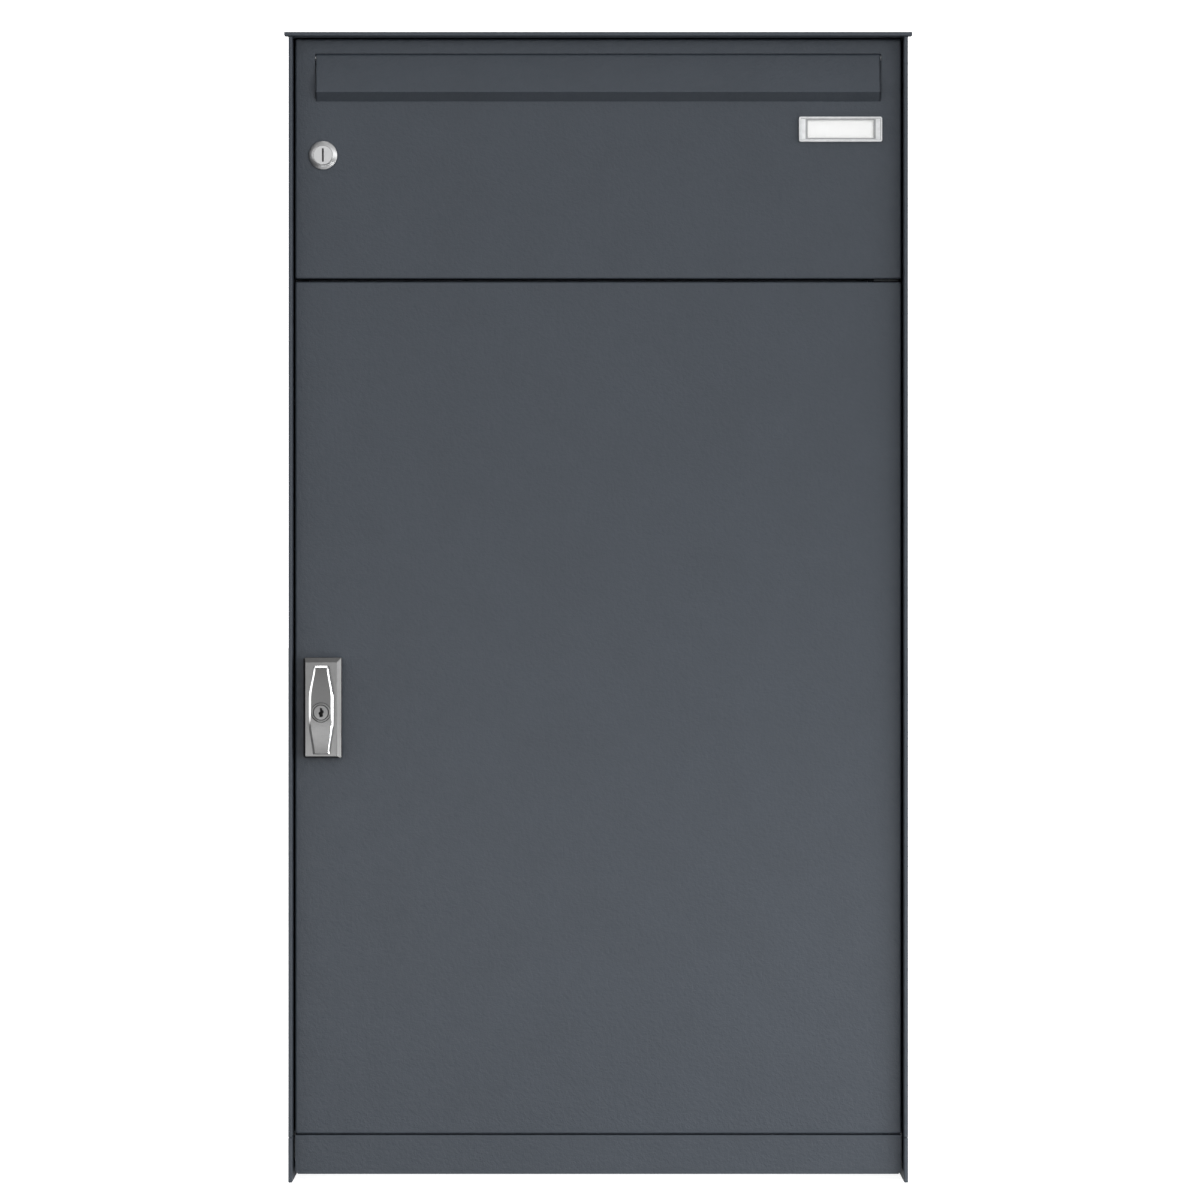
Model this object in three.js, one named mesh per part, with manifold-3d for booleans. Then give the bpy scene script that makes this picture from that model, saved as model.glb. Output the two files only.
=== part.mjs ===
// Free-standing parcel drop box: a letter compartment with a slot above a parcel compartment.
// Millimetres, +Z up, the front looks along -Y, origin at the centre of the footprint on the floor.

import * as THREE from 'three';
import { mergeVertices } from 'three/addons/utils/BufferGeometryUtils.js';
import Module from 'manifold-3d';

const wasm = await Module();
wasm.setup();

// ---------------------------------------------------------------- driving dimensions

const bodyWidth = 480;
const bodyDepth = 385;
const bodyHeight = 891;
const plate = 3; // side panels, roof and plinth cheeks
const sheet = 1.5; // doors, back, floor and shelf
const angleSheet = 2; // door frame and plinth front
const fit = 0.3; // left between pieces that touch
const roofSide = 3.2; // roof edge beyond each side panel
const roofLip = 9; // length of that edge, from the front; behind it the roof is flush
const roofFront = 1.5; // roof edge ahead of the side panels
const doorRecess = 12; // door face behind the front edges of the side panels
const handleReach = 10; // handle ahead of the side panels

// heights above the floor
const seamZ = 34.9; // joint between plinth and side panels
const plinthFrontZ = [5.3, 35.1];
const floorZ = 35.4; // underside of the parcel floor
const parcelDoorZ = [36.5, 698.2];
const letterDoorZ = [700.9, 887];
const shelfZ = 699.3;

// doors
const doorWidth = 471;
const doorDepth = 18;
const doorReturn = 12;
const hingeReturn = 26;
const doorBend = 1.2; // chamfer that stands for the bend radius
const pivotInset = 12; // hinge axis from the door's right edge
const pivotBehind = 6; // hinge axis behind the door face
const hingePin = 2.5; // radius
const pinReach = 7; // pin inside a door

// door frame
const frameFront = 36; // frame face behind the front edges of the side panels
const strike = { width: 11, thickness: 3 }; // bar on the latch side
const frameRight = 26; // width of the flange on the hinge side
const frameLeg = 22;
const headZ = 870; // lower edge of the flange under the roof
const midRailZ = [684, 715];
const sillZ = 52; // top of the turned-up front edge of the floor
const sealWidth = 7.3;
const wallHole = { radius: 4.5, x: 180, z: [140, 800] };
const anchorHole = 5.5; // radius

// letter slot and flap
const slotHalf = 219.9;
const slotZ = [841, 877];
const flapHalf = 219.3;
const flapPivot = { behind: 3.8, z: 872.7 };
const flapSheet = 1.2;
const flapRod = 2; // radius
const flapCurl = 3.6; // outer radius of the rolled edge
const flapNose = { ahead: 5, z: 845.4 };
const flapLipZ = 838.5;
const guard = { half: 204, ledgeZ: 838, reach: 44 };

// letter lock and name plate
const lockX = -213.7;
const lockZ = 796.6;
const lockCap = 11.2; // radius
const lockBody = 9; // radius
const lockPlug = 7.4; // radius
const keySlot = [1.65, 10.5];
const nameX = 188.2;
const nameZ = 816.7;
const nameSize = [64.8, 19.6];
const nameWindow = [51.2, 13.3];

// turning handle on the parcel door
const handleX = -214.1;
const handleZ = 364.3; // axis of the spindle
const handleBase = { width: 30.5, height: 77.9, above: 3.4, front: 12.5 };
const leverZ = [-32.3, 35.9]; // lower and upper end, from the spindle axis
const leverBack = 13; // rear of the lever ahead of the door face
const spindle = 5.9; // radius
const barrel = 7.5; // radius
const camReach = 19; // from the axis to the tip of either cam
const camFace = 28; // front of both cams behind the door face
const screwOffsets = [-26.5, 33.3]; // handle screws, from the spindle axis

// places that follow from them
const frontY = handleReach - (bodyDepth + handleReach) / 2;
const rearY = frontY + bodyDepth;
const doorY = frontY + doorRecess;
const frameY = frontY + frameFront;
const innerHalf = bodyWidth / 2 - plate; // inside faces of the side panels
const lineHalf = innerHalf - fit; // pieces that touch the side panels
const roofZ = bodyHeight - plate;
const pivotX = doorWidth / 2 - pivotInset;
const clearLeft = -lineHalf + strike.width; // inner edge of the bar on the latch side
const clearRight = lineHalf - frameRight;

// ---------------------------------------------------------------- geometry helpers

const X = new THREE.Vector3(1, 0, 0);
const Y = new THREE.Vector3(0, 1, 0);
const Z = new THREE.Vector3(0, 0, 1);

function solid(geometry) {
  const bare = geometry.index ? geometry.toNonIndexed() : geometry.clone();
  bare.deleteAttribute('normal');
  bare.deleteAttribute('uv');
  const merged = mergeVertices(bare, 1e-4);
  const vertProperties = new Float32Array(merged.attributes.position.array);
  const triVerts = new Uint32Array(merged.index.array);
  return new wasm.Manifold(new wasm.Mesh({ numProp: 3, vertProperties, triVerts }));
}

function surface(body) {
  const mesh = body.getMesh();
  const geometry = new THREE.BufferGeometry();
  geometry.setAttribute('position', new THREE.BufferAttribute(mesh.vertProperties, 3));
  geometry.setIndex(new THREE.BufferAttribute(mesh.triVerts, 1));
  geometry.computeVertexNormals();
  return geometry;
}

function join(...pieces) {
  return surface(pieces.map(solid).reduce((whole, one) => whole.add(one)));
}

function cut(geometry, ...tools) {
  return surface(tools.map(solid).reduce((left, tool) => left.subtract(tool), solid(geometry)));
}

function common(a, b) {
  return surface(solid(a).intersect(solid(b)));
}

function block([x0, x1], [y0, y1], [z0, z1]) {
  const geometry = new THREE.BoxGeometry(x1 - x0, y1 - y0, z1 - z0);
  return geometry.translate((x0 + x1) / 2, (y0 + y1) / 2, (z0 + z1) / 2);
}

// A round bar from start to end along an axis through the given place.
function bar(axis, radius, [start, end], [x, y, z] = [0, 0, 0], segments = 24) {
  const geometry = new THREE.CylinderGeometry(radius, radius, end - start, segments);
  geometry.applyQuaternion(new THREE.Quaternion().setFromUnitVectors(Y, axis));
  const middle = axis.clone().multiplyScalar((start + end) / 2);
  return geometry.translate(x + middle.x, y + middle.y, z + middle.z);
}

function outline(points) {
  return new THREE.Shape(points.map(([a, b]) => new THREE.Vector2(a, b)));
}

function extrude(shape, depth) {
  return new THREE.ExtrudeGeometry(shape, { depth, bevelEnabled: false, curveSegments: 6 });
}

// A (y, z) outline swept along X.
function alongX(points, [x0, x1]) {
  const geometry = extrude(outline(points), x1 - x0);
  geometry.applyMatrix4(new THREE.Matrix4().makeBasis(Y, Z, X));
  return geometry.translate(x0, 0, 0);
}

// An (x, z) shape swept along Y.
function alongY(shape, [y0, y1]) {
  const geometry = extrude(shape, y1 - y0);
  geometry.applyMatrix4(new THREE.Matrix4().makeBasis(X, Z, Y.clone().negate()));
  return geometry.translate(0, y1, 0);
}

// An (x, y) outline swept along Z.
function alongZ(points, [z0, z1]) {
  return extrude(outline(points), z1 - z0).translate(0, 0, z0);
}

function rectangle([x0, x1], [z0, z1]) {
  return outline([[x0, z0], [x1, z0], [x1, z1], [x0, z1]]);
}

function roundedRectangle(width, height, radius) {
  const x = width / 2;
  const z = height / 2;
  const shape = new THREE.Shape();
  shape.moveTo(-x + radius, -z);
  shape.lineTo(x - radius, -z);
  shape.absarc(x - radius, -z + radius, radius, -Math.PI / 2, 0);
  shape.lineTo(x, z - radius);
  shape.absarc(x - radius, z - radius, radius, 0, Math.PI / 2);
  shape.lineTo(-x + radius, z);
  shape.absarc(-x + radius, z - radius, radius, Math.PI / 2, Math.PI);
  shape.lineTo(-x, -z + radius);
  shape.absarc(-x + radius, -z + radius, radius, Math.PI, Math.PI * 1.5);
  return shape;
}

function ring([x0, x1], [z0, z1], width, depths) {
  const shape = rectangle([x0, x1], [z0, z1]);
  shape.holes.push(rectangle([x0 + width, x1 - width], [z0 + width, z1 - width]));
  return alongY(shape, depths);
}

// Points of an arc about the origin, from one angle to another in degrees.
function arc(radius, from, to, steps) {
  return Array.from({ length: steps + 1 }, (_, i) => {
    const angle = THREE.MathUtils.degToRad(from + ((to - from) * i) / steps);
    return [radius * Math.cos(angle), radius * Math.sin(angle)];
  });
}

function hexagon(acrossFlats) {
  return outline(arc(acrossFlats / Math.sqrt(3), 0, 300, 5));
}

const mirrorX = (pair) => [-pair[1], -pair[0]];

// ---------------------------------------------------------------- housing

function sidePanel(side) {
  const x = [innerHalf, bodyWidth / 2];
  return block(side > 0 ? x : mirrorX(x), [frontY, rearY], [seamZ + fit / 2, roofZ - fit]);
}

function roofPanel() {
  const half = bodyWidth / 2;
  const wide = half + roofSide;
  const front = frontY - roofFront;
  const z = [roofZ, bodyHeight];
  const lip = block([-wide, wide], [front, front + roofLip], z);
  return join(lip, block([-half, half], [front, rearY], z));
}

// The rear sheet closes the box and the back of the plinth. Four holes take wall screws.
function backPanel() {
  const flange = 15;
  const inside = rearY - sheet;
  const top = roofZ - fit;
  const bottom = floorZ + sheet + fit;
  const left = [-lineHalf, -lineHalf + sheet];
  const skin = block([-lineHalf, lineHalf], [inside, rearY], [plinthFrontZ[0], top]);
  const turned = [
    block(left, [inside - flange, inside], [bottom, top]),
    block(mirrorX(left), [inside - flange, inside], [bottom, top]),
    block([-lineHalf, lineHalf], [inside - flange, inside], [top - sheet, top]),
  ];
  const holes = [-1, 1].flatMap((side) => wallHole.z.map((z) => (
    bar(Y, wallHole.radius, [inside - 1, rearY + 1], [side * wallHole.x, 0, z])
  )));
  return cut(join(skin, ...turned), ...holes);
}

// Upright below a side panel, with a foot turned inwards and two anchor holes.
function plinthCheek(side) {
  const foot = { width: 32, from: frontY + 70, to: rearY - 12 };
  const x = [innerHalf, bodyWidth / 2];
  const footX = [innerHalf - foot.width, innerHalf + 1];
  const upright = block(side > 0 ? x : mirrorX(x), [frontY, rearY], [0, seamZ - fit / 2]);
  const turned = block(side > 0 ? footX : mirrorX(footX), [foot.from, foot.to], [0, plate]);
  const holes = [foot.from + 35, foot.to - 35].map((y) => (
    bar(Z, anchorHole, [-1, plate + 1], [side * (innerHalf - foot.width / 2), y, 0])
  ));
  return cut(join(upright, turned), ...holes);
}

// Kick plate under the parcel door. Its top flange carries the lower hinge pin.
function plinthFront() {
  const corner = 2.3;
  const [low, high] = plinthFrontZ;
  const face = outline([
    [-lineHalf, low + corner],
    [-lineHalf + corner, low],
    [lineHalf - corner, low],
    [lineHalf, low + corner],
    [lineHalf, high],
    [-lineHalf, high],
  ]);
  const top = block([-lineHalf, lineHalf], [doorY + 1, frameY - fit], [high - angleSheet, high]);
  const bore = bar(Z, hingePin + fit, [low, high + 1], [pivotX, doorY + pivotBehind, 0]);
  return cut(join(alongY(face, [doorY, doorY + angleSheet]), top), bore);
}

// Parcel floor. The front edge turns up as the sill, the side edges turn down to the cheeks.
function basePan() {
  const skirt = [plinthFrontZ[0] + 8, floorZ + 1];
  const skirtY = [frontY + 62, rearY - 30];
  const left = [-lineHalf, -lineHalf + sheet];
  return join(
    block([-lineHalf, lineHalf], [frameY, rearY - sheet - fit], [floorZ, floorZ + sheet]),
    block([clearLeft + fit, clearRight - fit], [frameY, frameY + angleSheet], [floorZ, sillZ]),
    block(left, skirtY, skirt),
    block(mirrorX(left), skirtY, skirt),
  );
}

// Floor of the letter compartment and roof of the parcel compartment.
function dividerShelf() {
  const half = lineHalf - angleSheet - fit;
  const edge = [half - sheet, half];
  const edgeY = [frontY + 62, rearY - 20];
  const edgeZ = [shelfZ - 12, shelfZ + 1];
  return join(
    block([-half, half], [frameY + strike.thickness + fit, rearY - sheet - fit], [shelfZ, shelfZ + sheet]),
    block(edge, edgeY, edgeZ),
    block(mirrorX(edge), edgeY, edgeZ),
  );
}

// Uprights run from the floor to the roof along the inside of the side panels.
function uprightPost(points) {
  return alongZ(points, [floorZ + sheet + fit, roofZ - fit]).translate(0, frameY, 0);
}

// Flat bar beside the latch edge of the doors. Both cams turn in behind it.
function strikeBar() {
  return uprightPost([
    [-lineHalf, 0],
    [-lineHalf, strike.thickness],
    [-lineHalf + strike.width, strike.thickness],
    [-lineHalf + strike.width, 0],
  ]);
}

// Angle on the hinge side. The doors close against its flange.
function hingePost() {
  const post = uprightPost([
    [lineHalf, 0],
    [lineHalf, angleSheet + frameLeg],
    [lineHalf - angleSheet, angleSheet + frameLeg],
    [lineHalf - angleSheet, angleSheet],
    [lineHalf - frameRight, angleSheet],
    [lineHalf - frameRight, 0],
  ]);
  const notch = block(
    [bracketX[0] - fit, bracketX[1] + fit],
    [frameY - 1, frameY + angleSheet + 1],
    [bracketZ[0] - fit, bracketZ[1] + fit],
  );
  return cut(post, notch);
}

function frameHead() {
  const top = roofZ - fit;
  const x = [clearLeft + fit, clearRight - fit];
  return alongX([
    [frameY, top],
    [frameY, headZ],
    [frameY + angleSheet, headZ],
    [frameY + angleSheet, top - angleSheet],
    [frameY + angleSheet + frameLeg, top - angleSheet],
    [frameY + angleSheet + frameLeg, top],
  ], x);
}

// Cross rail behind the gap between the doors. Its ledge carries the front of the shelf.
function frameMidRail() {
  const ledge = { top: shelfZ - fit, depth: 12 };
  const x = [clearLeft + fit, clearRight - fit];
  return join(
    block(x, [frameY, frameY + angleSheet], midRailZ),
    block(x, [frameY + 1, frameY + angleSheet + ledge.depth], [ledge.top - angleSheet, ledge.top]),
  );
}

// ---------------------------------------------------------------- hinges

const bracketX = [214, 233];
const bracketZ = [698.8, 700.3];

// Plate in the gap between the doors, with one pin up and one pin down.
function hingeBracket() {
  const [low, high] = bracketZ;
  return join(
    block(bracketX, [doorY + 1, frameY + angleSheet], bracketZ),
    bar(Z, hingePin, [low - pinReach, high + pinReach], [pivotX, doorY + pivotBehind, 0]),
  );
}

// Stud under the roof: a thin welded head and the pin. The head's top face is at z 0.
function topPin() {
  const head = { radius: 8, height: 0.5 };
  return join(
    bar(Z, head.radius, [-head.height, 0]),
    bar(Z, hingePin, [-head.height - pinReach, -head.height / 2]),
  );
}

// Headed pin through the plinth flange. The flange's top face is at z 0.
function bottomPin() {
  const head = { radius: 3.6, height: 3 };
  const under = -angleSheet - fit;
  return join(
    bar(Z, head.radius, [under - head.height, under]),
    bar(Z, hingePin, [under - 1, pinReach]),
  );
}

// Nylon bush with its head inside the door. The outer end is at z 0.
function hingeBush() {
  const bore = hingePin + 0.35;
  const body = join(bar(Z, 3.6, [0, sheet + 1]), bar(Z, 4.2, [sheet + fit, sheet + 3.5]));
  return cut(body, bar(Z, bore, [-1, sheet + 5]));
}

// ---------------------------------------------------------------- doors

// Folded pan: x from the middle, y behind the face, z above the lower edge.
function doorPan(height) {
  const half = doorWidth / 2;
  const inner = half - sheet;
  const back = doorDepth - sheet;
  const front = [
    [-half, doorBend],
    [-half + doorBend, 0],
    [half - doorBend, 0],
    [half, doorBend],
  ];
  const walls = alongZ([
    ...front,
    [half, doorDepth],
    [half - hingeReturn, doorDepth],
    [half - hingeReturn, back],
    [inner, back],
    [inner, sheet + 0.5],
    [inner - 0.5, sheet],
    [-inner + 0.5, sheet],
    [-inner, sheet + 0.5],
    [-inner, back],
    [-half + doorReturn, back],
    [-half + doorReturn, doorDepth],
    [-half, doorDepth],
  ], [0, height]);
  const cap = [...front, [half, doorDepth], [-half, doorDepth]];
  const turned = [-half, half];
  const pan = join(
    walls,
    alongZ(cap, [0, sheet]),
    alongZ(cap, [height - sheet, height]),
    block(turned, [back, doorDepth], [0, doorReturn]),
    block(turned, [back, doorDepth], [height - doorReturn, height]),
  );
  const bushHole = bar(Z, 3.9, [-1, height + 1], [pivotX, pivotBehind, 0]);
  const middle = block([pivotX - 5, pivotX + 5], [0, doorDepth - 2], [sheet, height - sheet]);
  return cut(pan, cut(bushHole, middle));
}

function letterDoorPanel() {
  const z = (height) => height - letterDoorZ[0];
  const pan = doorPan(letterDoorZ[1] - letterDoorZ[0]);
  const slot = block([-slotHalf, slotHalf], [-1, sheet + 1], slotZ.map(z));
  const lockHole = bar(Y, lockBody + 0.35, [-1, sheet + 1], [lockX, 0, z(lockZ)]);
  return cut(pan, slot, lockHole);
}

function parcelDoorPanel() {
  const z = handleZ - parcelDoorZ[0];
  const pan = doorPan(parcelDoorZ[1] - parcelDoorZ[0]);
  const screws = screwOffsets.map((offset) => bar(Y, 2.8, [-1, 3], [handleX, 0, z + offset]));
  return cut(pan, bar(Y, spindle + 0.6, [-1, 3], [handleX, 0, z]), ...screws);
}

// Foam strip glued to the returns of a door, which presses on the door frame.
function doorSeal(height) {
  const left = -doorWidth / 2 + 1.5;
  const right = doorWidth / 2 - hingeReturn + 9;
  const depths = [doorDepth + fit, frameFront - doorRecess - fit];
  return ring([left, right], [2.5, height - 2.5], sealWidth, depths);
}

// Hat-shaped stiffener spot-welded to the inside of the parcel door skin.
function doorStiffener() {
  const foot = sheet + fit;
  const crown = 13;
  const t = 1.2;
  const half = [
    [34, foot],
    [34, foot + t],
    [22, foot + t],
    [18, crown],
  ];
  const inner = [
    [17, crown - t],
    [21, foot],
  ];
  const flip = ([x, y]) => [-x, y];
  const points = [
    ...half,
    ...[...half].reverse().map(flip),
    ...[...inner].reverse().map(flip),
    ...inner,
  ];
  return alongZ(points, [14, parcelDoorZ[1] - parcelDoorZ[0] - 14]);
}

// Baffle behind the letter slot. It keeps a hand from reaching the letters below.
function slotGuard() {
  const front = sheet + fit;
  const ledge = guard.ledgeZ - letterDoorZ[0];
  const t = 1;
  return alongX([
    [front, ledge - 12],
    [front + t, ledge - 12],
    [front + t, ledge - t],
    [guard.reach - 5, ledge + 4],
    [guard.reach - t, ledge - 22],
    [guard.reach, ledge - 22],
    [guard.reach - 4, ledge + 5],
    [front, ledge],
  ], [-guard.half, guard.half]);
}

// Ear on the back of the door skin that holds one end of the flap rod.
function flapBracket(side) {
  const y = sheet + fit;
  const ear = [221, 222.5];
  const foot = [222, 231];
  const z = [-7, 4.8];
  const pick = (pair) => (side > 0 ? pair : mirrorX(pair));
  const body = join(block(pick(ear), [y, 8], z), block(pick(foot), [y, y + sheet], z));
  return cut(body, bar(X, flapRod + fit, [-235, 235], [0, flapPivot.behind, 0]));
}

// ---------------------------------------------------------------- flap

// Sheet rolled round the rod, falling forward to a nose and turned back to the door skin.
// The rod's axis is at the origin.
function flapPanel() {
  const drop = (z) => z - flapPivot.z;
  const nose = [-flapPivot.behind - flapNose.ahead, drop(flapNose.z)];
  const lip = [-flapPivot.behind - fit, drop(flapLipZ)];
  const t = flapSheet;
  const section = [
    lip,
    nose,
    ...arc(flapCurl, 172, -60, 20),
    ...arc(flapCurl - t, -60, 172, 20),
    [nose[0] + t * 1.1, nose[1] + 0.4],
    [lip[0], lip[1] + t * 1.5],
  ];
  const cheek = [
    [lip[0], lip[1] + 0.1],
    nose,
    [-flapCurl + 0.05, -2],
    [lip[0], -6],
  ];
  return join(
    alongX([...section].reverse(), [-flapHalf, flapHalf]),
    alongX([...cheek].reverse(), [-flapHalf, -flapHalf + t]),
    alongX([...cheek].reverse(), [flapHalf - t, flapHalf]),
  );
}

// ---------------------------------------------------------------- name plate

const namePocket = [58.8, 16.6];

function nameFrame() {
  const lip = alongY(roundedRectangle(...nameSize, 1.5), [-3, -fit]);
  const [w, h] = nameWindow;
  const [pw, ph] = namePocket;
  return cut(
    lip,
    block([-w / 2, w / 2], [-4, 0], [-h / 2, h / 2]),
    block([-pw / 2, pw / 2], [-2.2, 0], [-ph / 2, ph / 2]),
  );
}

// A flat insert that lies in the pocket of the name plate.
function nameInsert([front, back]) {
  const [w, h] = namePocket.map((size) => size - 0.6);
  return block([-w / 2, w / 2], [front, back], [-h / 2, h / 2]);
}

// ---------------------------------------------------------------- letter lock

const lockEnd = 24; // rear of the lock body
const plugSquare = 7;

function lockHousing() {
  const cap = bar(Y, lockCap, [-2.2, -fit], [0, 0, 0], 40);
  const rim = bar(Y, lockCap - 0.9, [-3, -2], [0, 0, 0], 40);
  const body = bar(Y, lockBody, [-1, lockEnd], [0, 0, 0], 32);
  return cut(join(cap, rim, body), bar(Y, lockPlug + 0.4, [-4, lockEnd + 1], [0, 0, 0], 40));
}

function lockNut() {
  const nut = alongY(hexagon(24), [sheet + fit, sheet + fit + 4]);
  return cut(nut, bar(Y, lockBody + fit, [0, 10], [0, 0, 0], 32));
}

function lockCore() {
  const core = bar(Y, lockPlug, [-2.4, lockEnd + 1], [0, 0, 0], 40);
  const half = plugSquare / 2;
  const tail = block([-half, half], [lockEnd, camFace + 2.6], [-half, half]);
  const [w, h] = keySlot;
  const slot = block([-w / 2, w / 2], [-4, 6], [-h / 2, h / 2]);
  return cut(join(core, tail), slot, bar(Y, 2.2, [camFace - 4, camFace + 4]));
}

// Latch cam hanging down from its axis, with a square hole.
function latchCam(hub, reach, square, thickness) {
  const tip = hub * 0.72;
  const shape = outline([
    ...arc(hub, 0, 180, 12),
    ...arc(tip, 180, 360, 12).map(([x, z]) => [x, z - reach + tip]),
  ]);
  const half = square / 2;
  shape.holes.push(rectangle([-half, half], [-half, half]));
  return alongY(shape, [camFace, camFace + thickness]);
}

// Screw from behind into the end of a spindle: head against the cam, shank ahead of it.
function camScrew(radius, shank, across, head) {
  return join(alongY(hexagon(across), head), bar(Y, radius, [head[0] - shank, head[0] + 1]));
}

// ---------------------------------------------------------------- turning handle

const gasketBack = [-1.1, -fit];

function handleBody() {
  const bevel = 3;
  const { width, height, above, front } = handleBase;
  const core = roundedRectangle(width - 2 * bevel, height - 2 * bevel, 0.8);
  const depth = 5;
  const bevelled = new THREE.ExtrudeGeometry(core, {
    depth: front,
    bevelSize: bevel,
    bevelThickness: depth,
    bevelSegments: 1,
    curveSegments: 2,
  });
  bevelled.applyMatrix4(new THREE.Matrix4().makeBasis(X, Z, Y.clone().negate()));
  bevelled.translate(0, depth, above);
  const kept = block([-width, width], [-front, gasketBack[0] - fit], [-height, height]);
  const screws = screwOffsets.map((z) => bar(Y, 2.7, [-9.5, 1], [0, 0, z]));
  return cut(common(bevelled, kept), bar(Y, spindle + 0.4, [-front - 1, 1]), ...screws);
}

function handleGasket() {
  const { width, height, above } = handleBase;
  const flat = alongY(roundedRectangle(width - 1, height - 1, 1), gasketBack);
  flat.translate(0, 0, above);
  const screws = screwOffsets.map((z) => bar(Y, 2.8, [-3, 1], [0, 0, z]));
  return cut(flat, bar(Y, spindle + 0.5, [-3, 1]), ...screws);
}

function handleScrew() {
  const head = sheet + fit;
  return join(bar(Y, 4.8, [head, head + 3]), bar(Y, 2.4, [-9, head + 1]));
}

// Lever: widest at the lock, slimmer at both ends, its face falling away to both ends.
function handleLever() {
  const front = -doorRecess - handleReach + 0.4;
  const [low, high] = leverZ;
  const right = [[6.1, low], [8.1, -20], [9.4, -8], [9.4, 8], [9.1, 21], [7.4, 29.5], [5.8, high]];
  const left = right.map(([x, z]) => [-x, z]).reverse();
  const face = [
    [front + 3.6, low],
    [front + 1.6, low * 0.66],
    [front + 0.4, low * 0.33],
    [front, 0],
    [front + 0.5, high * 0.33],
    [front + 1.9, high * 0.66],
    [front + 3.9, high],
  ];
  const side = [[-leverBack, low], ...face, [-leverBack, high]];
  const body = common(
    alongY(outline([...right, ...left]), [front - 1, -leverBack]),
    alongX([...side].reverse(), [-12, 12]),
  );
  return cut(body, bar(Y, barrel + fit, [front - 1, -leverBack - 1.2], [0, 0, 0], 32));
}

function lockBarrel() {
  const front = -doorRecess - handleReach;
  const back = -leverBack - 1.5;
  return cut(bar(Y, barrel, [front, back], [0, 0, 0], 32), bar(Y, 6.2, [front - 1, back + 1]));
}

function keyCore() {
  const front = -doorRecess - handleReach + fit;
  const core = bar(Y, 5.8, [front, -leverBack - 1.5]);
  return cut(core, block([-0.7, 0.7], [front - 1, front + 5], [-3.6, 3.6]));
}

const shaftSquare = 10;

function handleSpindle() {
  const half = shaftSquare / 2;
  const round = bar(Y, spindle, [-leverBack + fit, camFace - 2]);
  const tail = block([-half, half], [camFace - 3, camFace + 2.6], [-half, half]);
  const trimmed = common(tail, bar(Y, 6.4, [camFace - 4, camFace + 4], [0, 0, 0], 32));
  return cut(join(round, trimmed), bar(Y, 3.3, [camFace - 6, camFace + 4]));
}

// ---------------------------------------------------------------- finishes

function finish(color, roughness, metalness) {
  return new THREE.MeshStandardMaterial({ color, roughness, metalness });
}

const powderCoat = () => finish(0x474d54, 0.72, 0.1);
const galvanised = () => finish(0x9aa0a5, 0.45, 0.9);
const zincPlated = () => finish(0xb4b8ba, 0.35, 0.95);
const satinChrome = () => finish(0xc6c8ca, 0.28, 1);
const dieCast = () => finish(0x9c9d9f, 0.32, 0.95);
const foam = () => finish(0x1b1b1c, 0.95, 0);
const nylon = () => finish(0x222324, 0.6, 0);

// ---------------------------------------------------------------- assembly

function piece(name, geometry, material, x = 0, y = 0, z = 0) {
  const mesh = new THREE.Mesh(geometry, material);
  mesh.name = name;
  mesh.position.set(x, y, z);
  return mesh;
}

function assembly(x, y, z, ...pieces) {
  const group = new THREE.Group();
  group.position.set(x, y, z);
  group.add(...pieces);
  return group;
}

// A bush at the upper end of a door hangs upside down.
function bushes(prefix, height) {
  const top = piece(`${prefix}_hinge_bush_top`, hingeBush(), nylon(), pivotX, pivotBehind, height);
  top.rotation.x = Math.PI;
  const bottom = piece(`${prefix}_hinge_bush_bottom`, hingeBush(), nylon(), pivotX, pivotBehind, 0);
  return [top, bottom];
}

const pinY = doorY + pivotBehind;

const housing = assembly(
  0, 0, 0,
  piece('side_panel_left', sidePanel(-1), powderCoat()),
  piece('side_panel_right', sidePanel(1), powderCoat()),
  piece('roof_panel', roofPanel(), powderCoat()),
  piece('back_panel', backPanel(), powderCoat()),
  piece('plinth_cheek_left', plinthCheek(-1), powderCoat()),
  piece('plinth_cheek_right', plinthCheek(1), powderCoat()),
  piece('plinth_front', plinthFront(), powderCoat()),
  piece('base_pan', basePan(), galvanised()),
  piece('divider_shelf', dividerShelf(), galvanised()),
  piece('frame_post_left', strikeBar(), powderCoat()),
  piece('frame_post_right', hingePost(), powderCoat()),
  piece('frame_head', frameHead(), powderCoat()),
  piece('frame_mid_rail', frameMidRail(), powderCoat()),
  piece('hinge_bracket_middle', hingeBracket(), powderCoat()),
  piece('hinge_pin_top', topPin(), powderCoat(), pivotX, pinY, roofZ - fit),
  piece('hinge_pin_bottom', bottomPin(), powderCoat(), pivotX, pinY, plinthFrontZ[1]),
);

const flap = assembly(
  0, flapPivot.behind, flapPivot.z - letterDoorZ[0],
  piece('letter_flap_panel', flapPanel(), powderCoat()),
);

const letterLock = assembly(
  lockX, 0, lockZ - letterDoorZ[0],
  piece('letter_lock_plug', lockCore(), satinChrome()),
  piece('letter_lock_cam', latchCam(8, camReach, plugSquare + 0.6, 2), zincPlated()),
  piece('letter_cam_screw', camScrew(1.9, 4, 7, [30.9, 33.7]), zincPlated()),
);

const letterHeight = letterDoorZ[1] - letterDoorZ[0];
const nameLocalZ = nameZ - letterDoorZ[0];
const flapLocalZ = flapPivot.z - letterDoorZ[0];
const rod = bar(X, flapRod, [-223.6, 223.6]);

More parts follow.
